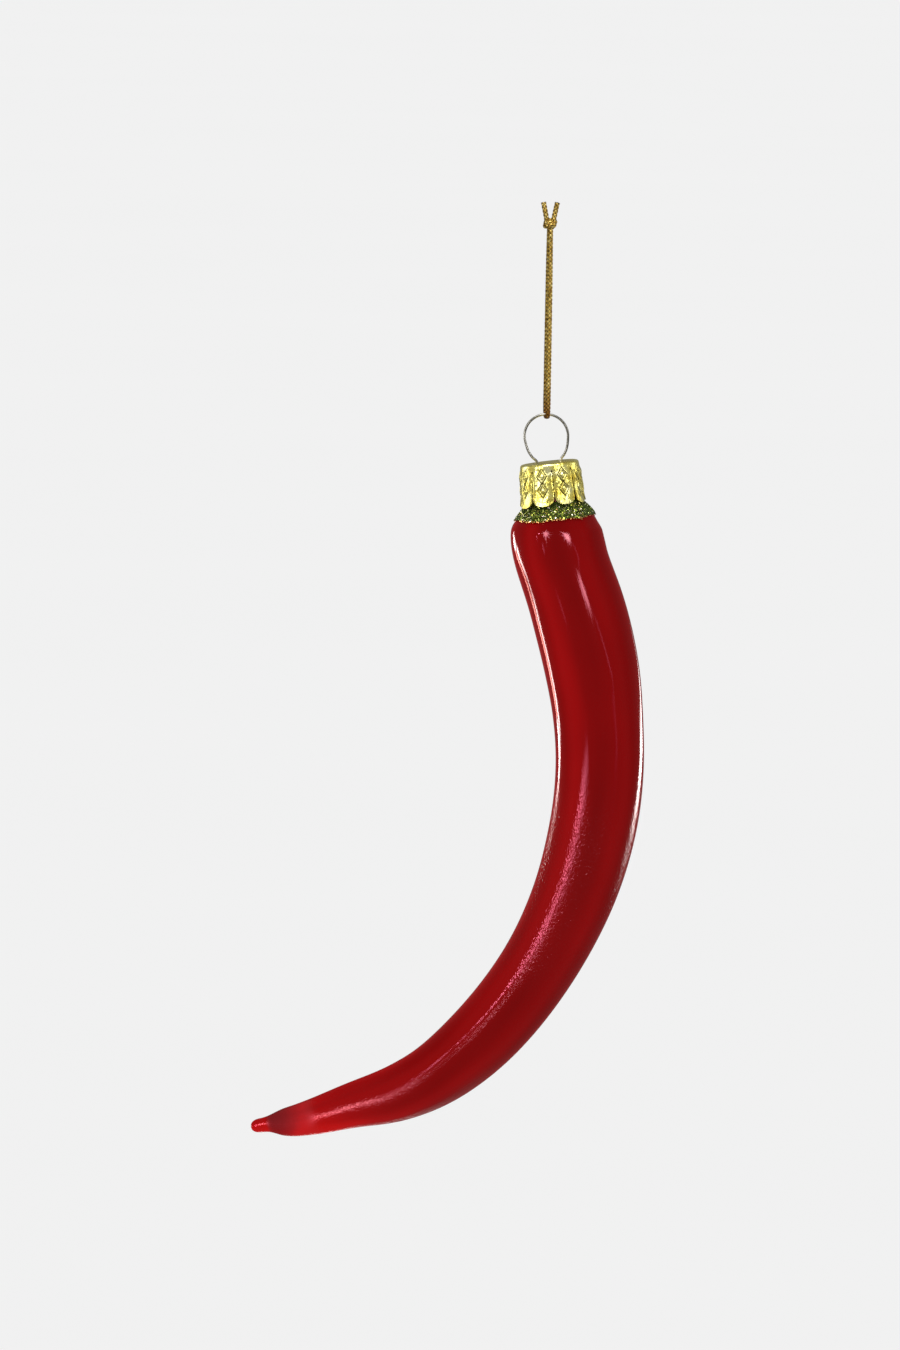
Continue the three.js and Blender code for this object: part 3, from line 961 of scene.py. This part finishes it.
def gold_plate():
    finish = Finish("gold plated sheet", {"Metallic": 0.9})
    place = finish.place()
    crease = finish.stored("crease")
    tone = finish.grain(place, 2.5 * mm, detail=4)
    colour = finish.ramp(tone, [(0.3, (0.82, 0.6, 0.06)), (0.5, (0.96, 0.84, 0.2)), (0.7, (1.0, 0.95, 0.48))])
    # Painted shade: the stamped creases round the diamonds and dots go nearly black
    finish.feed("Base Color", finish.blend(crease * 0.9, colour, (0.07, 0.05, 0.003)))
    finish.feed("Roughness", 0.12 + 0.2 * finish.grain(place, 0.6 * mm, detail=4) + crease * 0.2)
    dents = finish.grain(place, 1.3 * mm, detail=1) + finish.grain(place, 0.4 * mm, detail=3) * 0.3
    finish.bump(dents, 0.3 * mm, 0.7)
    return finish


def make_wire():
    """The hanger: up the left leg, round the ring and down the right leg."""
    hole = hole_spacing / 2
    leg = [
        (leg_reach, -leg_drop), ((hole + leg_reach) / 2, -(leg_straight + leg_drop) / 2),
        (hole, -leg_straight), (hole, 0.0), *ring_foot,
    ]
    points = [(-x, z) for x, z in leg]
    for angle in np.linspace(ring_leave, 2 * math.pi - ring_leave, ring_points):
        points.append((-ring_radius * math.sin(angle), ring_height - ring_radius * math.cos(angle)))
    points += reversed(leg)
    flat = curve_through(points, wire_steps)
    line = np.array([tuple(neck @ Vector((x, 0, z))) for x, z in flat])
    heading = np.gradient(line, axis=0)
    lean = np.unwrap(np.arctan2(heading[:, 0], heading[:, 2]))
    rings = [(Vector(line[0]), float(lean[0]), wire_radius * 0.5)]
    rings += [(Vector(place), float(turn), wire_radius) for place, turn in zip(line[1:-1], lean[1:-1])]
    rings.append((Vector(line[-1]), float(lean[-1]), wire_radius * 0.5))
    wire = draw_rings("bent_wire", rings, wire_sides)
    smooth(wire, 60)
    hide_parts("wire_hanger")
    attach(wire, "hanger")
    return wire


def plated_wire():
    finish = Finish("plated wire", {"Metallic": 1.0})
    place = finish.place()
    tone = finish.grain(place, 3 * mm, detail=3)
    finish.feed("Base Color", finish.ramp(tone, [(0.35, (0.2, 0.19, 0.16)), (0.65, (0.62, 0.59, 0.51))]))
    finish.feed("Roughness", 0.18 + 0.2 * finish.grain(place, 0.4 * mm))
    finish.bump(finish.grain(place, 0.25 * mm), 0.01 * mm, 0.4)
    return finish


def aim(azimuth, elevation):
    """A direction from the ornament. Azimuth 0 is towards the camera and 90 to the right."""
    turn, rise = math.radians(azimuth), math.radians(elevation)
    return Vector((math.sin(turn) * math.cos(rise), -math.cos(turn) * math.cos(rise), math.sin(rise)))


def light_card(name, rows, colour, strength):
    """A glowing card far from the ornament, brightest along its middle.

    A row is the azimuth and elevation of its middle, half its width and its brightness.
    """
    corners, faces, glow = [], [], []
    for i, (azimuth, elevation, half_width, brightness) in enumerate(rows):
        before, after = rows[max(i - 1, 0)], rows[min(i + 1, len(rows) - 1)]
        run = math.atan2(after[1] - before[1], after[0] - before[0])
        for share in (-1.0, -0.4, 0.4, 1.0):
            reach = half_width * share
            direction = aim(azimuth - math.sin(run) * reach, elevation + math.cos(run) * reach)
            corners.append(light_middle + direction * card_distance)
            level = brightness if abs(share) < 1 else 0.0
            glow.extend((colour[0] * level, colour[1] * level, colour[2] * level, 1.0))
    for i in range(len(rows) - 1):
        for j in range(3):
            faces.append((4 * i + j, 4 * i + j + 1, 4 * i + j + 5, 4 * i + j + 4))
    return glowing(name, corners, faces, glow, strength)


def star_card(name, azimuth, elevation, spikes, colour, strength):
    """A glowing star. A spike is its turn, its reach in degrees and half its width at the foot."""
    corners = [light_middle + aim(azimuth, elevation) * card_distance]
    faces, glow = [], [*star_glow]
    for turn, reach, half_width in spikes:
        along = Vector((math.cos(math.radians(turn)), math.sin(math.radians(turn))))
        across = Vector((-along.y, along.x)) * half_width
        foot = along * half_width * 1.5
        start = len(corners)
        for offset, level in ((foot + across, 0.6), (along * reach, 0.0), (foot - across, 0.6)):
            place = aim(azimuth + offset.x, elevation + offset.y)
            corners.append(light_middle + place * card_distance)
            glow.extend((colour[0] * level, colour[1] * level, colour[2] * level, 1.0))
        faces.append((0, start, start + 1, start + 2))
    return glowing(name, corners, faces, glow, strength)


def glowing(name, corners, faces, glow, strength):
    """A card that only gloss shows, its colour stored at its corners."""
    card = new_piece(name, corners, faces)
    store(card, "glow", "FLOAT_COLOR", glow)
    finish = Finish(name, {"Base Color": (0, 0, 0, 1), "Roughness": 1.0, "Emission Strength": strength})
    finish.feed("Emission Color", finish.stored("glow", "Color"))
    dress(card, finish)
    card.visible_camera = False
    card.visible_diffuse = False
    card.visible_shadow = False
    return card


def show_only(lights, name, pieces):
    """Lets the lights fall on these pieces alone."""
    shown = bpy.data.collections.new(name)
    for piece in pieces:
        shown.objects.link(piece)
    for light in lights:
        light.light_linking.receiver_collection = shown


def light_cards():
    white, blush, salmon = (1.0, 0.97, 0.95), (0.9, 0.62, 1.0), (1.0, 0.5, 0.42)
    upright_spikes = [(90, 24, 2.6), (38, 14, 2.3), (-5, 12, 2.0), (-50, 14, 2.3), (-88, 20, 2.3),
                      (-125, 14, 2.3), (178, 14, 2.2), (139, 15, 2.3), (64, 17, 1.8), (112, 16, 1.8)]
    slanted_spikes = [(-38, 11, 2.7), (125, 25, 3.8), (60, 16, 2.6), (20, 11, 2.0), (-12, 11, 2.0),
                      (-62, 10, 2.4), (-100, 9, 2.0), (160, 14, 2.3), (92, 18, 2.0), (-150, 10, 2.0)]
    return [
        light_card("left card", [
            (-125.5, -8, 0.8, 0.2), (-125, -11, 2.8, 0.9), (-124, -14, 1.9, 0.9), (-122.5, -17.5, 1.4, 0.8),
            (-120.5, -20.5, 0.7, 0.4),
        ], white, 34.0),
        light_card("left thread", [
            (-122, -22, 0.8, 0.4), (-125, -20, 1.0, 0.6), (-127, -17.5, 1.2, 0.8), (-128.3, -15, 1.5, 0.9),
            (-131, -12.5, 1.5, 0.9), (-132, -10, 1.2, 0.6),
        ], salmon, 28.0),
        light_card("left lower card", [
            (-130.5, -11, 1.5, 0.6), (-130.5, -9, 4.5, 1.0), (-132, -5.5, 4.5, 1.0), (-133, -3, 2.4, 0.8),
            (-135.5, 0, 1.6, 0.6), (-131, 4, 1.0, 0.3),
        ], white, 34.0),
        light_card("right card", [
            (152, 3, 0.7, 0.1), (151, 0, 1.0, 0.25), (143, -3, 1.6, 0.5), (133, -5.5, 4.0, 1.0),
            (130, -9, 4.5, 1.0), (131, -12, 3.0, 0.8), (136, -16, 1.2, 0.3),
        ], white, 34.0),
        light_card("long card", [
            (-24, -7, 3.0, 0.1), (-31, -3, 6.0, 0.4), (-39, 1, 8.0, 0.9), (-41, 6, 8.0, 1.1),
            (-40, 10, 5.5, 1.5), (-38.5, 13, 3.5, 1.6), (-37, 16, 2.2, 1.4), (-36, 19, 1.0, 0.4),
        ], blush, 26.0),
        light_card("thin card", [
            (22, 6.5, 0.5, 0.2), (29, 4.5, 0.9, 0.6), (37, 1.5, 1.1, 0.7), (44, -1, 1.2, 0.5),
            (42, -4, 1.2, 0.3), (33, -6, 1.0, 0.1),
        ], blush, 5.5),
        light_card("low card", [
            (160, -40, 2.0, 0.3), (168, -38, 3.0, 1.0), (178, -37, 3.0, 1.0), (188, -38, 2.0, 0.3),
        ], white, 10.0),
        star_card("left star", -17, 17, upright_spikes, blush, 38.0),
        star_card("right star", 14, 11, slanted_spikes, blush, 50.0),
    ]


def room_flag():
    """A small card before the shoulder, as bright as the room, which keeps the long card out of its gloss."""
    middle = Vector((-31.0, -49.0, -61.5)) * mm
    across = Vector((6.9, -4.7, 0.0)) * mm
    up = Vector((0.0, 0.0, 12.5)) * mm
    corners = [middle + across * x + up * z for x, z in ((-1, -1), (1, -1), (1, 1), (-1, 1))]
    flag = glowing("room flag", corners, [(0, 1, 2, 3)], [1.0, 1.0, 1.0, 1.0] * 4, room_gloss)
    flag.visible_shadow = True
    return flag


def softbox(name, azimuth, elevation, size, energy):
    """A soft area light that faces the ornament."""
    lamp = bpy.data.lights.new(name, "AREA")
    lamp.shape = "RECTANGLE"
    lamp.size, lamp.size_y = size
    lamp.energy = energy
    light = bpy.data.objects.new(name, lamp)
    bpy.context.collection.objects.link(light)
    light.location = light_middle + aim(azimuth, elevation) * softbox_distance
    light.rotation_euler = (-aim(azimuth, elevation)).to_track_quat("-Z", "Y").to_euler()
    light.visible_camera = False
    return light


def softboxes():
    return [
        softbox("overhead softbox", -10, 62, (0.9, 0.7), 9.0),
        softbox("front right softbox", 38, 20, (0.16, 0.5), 1.6),
        softbox("right softbox", 110, 5, (0.3, 0.8), 1.5),
        softbox("front left softbox", -42, 16, (0.22, 0.5), 2.6),
        softbox("left softbox", -112, 5, (0.5, 0.8), 3.0),
    ]


def light_room():
    """A pale room. Gloss shows it dark, most of all behind, and the camera sees it in one tone."""
    bpy.context.scene.view_settings.view_transform = "Standard"
    world = bpy.data.worlds.new("pale room")
    bpy.context.scene.world = world
    world.use_nodes = True
    nodes = Nodes(world.node_tree)
    towards = nodes.node("ShaderNodeTexCoord", {}, {}, "Generated")
    away, height = [nodes.node("ShaderNodeSeparateXYZ", {}, {0: towards}, axis) for axis in "YZ"]
    soft = 0.9 + away * 0.3 + height * 0.1
    behind = nodes.step(away, -0.3, 0.3)
    overhead = nodes.step(height, 0.4, 0.8)
    below = nodes.step(0.0 - height, 0.4, 0.8)
    seen = room_gloss - behind * 0.16 - overhead * 0.05 + below * 0.1
    glossy, direct = [
        nodes.node("ShaderNodeLightPath", {}, {}, ray) for ray in ("Is Glossy Ray", "Is Camera Ray")
    ]
    brightness = (soft * (1.0 - glossy) + seen * glossy) * (1.0 - direct) + direct * floor_tone
    background = world.node_tree.nodes["Background"]
    background.inputs["Color"].default_value = (1.0, 1.0, 1.0, 1.0)
    world.node_tree.links.new(brightness.socket, background.inputs["Strength"])


def lay_floor():
    bpy.ops.object.select_all(action="DESELECT")
    bpy.ops.mesh.primitive_plane_add(size=floor_size, location=(0, 0, -floor_drop))
    floor = bpy.context.object
    floor.name = "pale_floor"
    finish = Finish("glowing white floor", {
        "Roughness": 0.9,
        "Specular IOR Level": 0.0,
        "Emission Color": (1.0, 1.0, 1.0, 1.0),
        "Emission Strength": floor_glow,
    })
    finish.feed("Base Color", finish.ramp(finish.grain(finish.place(), 0.3), [
        (0.3, (0.048, 0.048, 0.048)), (0.7, (0.052, 0.052, 0.052)),
    ]))
    dress(floor, finish)
    floor.visible_glossy = False
    floor.visible_shadow = False
    return floor


place_camera()
thread = gold_thread()
cord, cord_length = make_cord()
dress(cord, thread)
knot = make_knot()
dress(knot, thread)
wire = make_wire()
dress(wire, plated_wire())
cap = make_cap()
dress(cap, gold_plate())
pod = make_pod()
dress(pod, red_lacquered_glass())
collar = make_collar()
dress(collar, green_glue())
flakes = make_glitter()
dress(flakes, glitter_film())
light_room()
cards = light_cards()
show_only(cards, "shown in the glass", [pod, flakes])
lamps = softboxes()
show_only(lamps[:3], "lit all round", [wire, cap, cord, knot, collar, flakes])
show_only(lamps[3:], "lit from the left", [wire, cap, collar, flakes])
lay_floor()
room_flag()
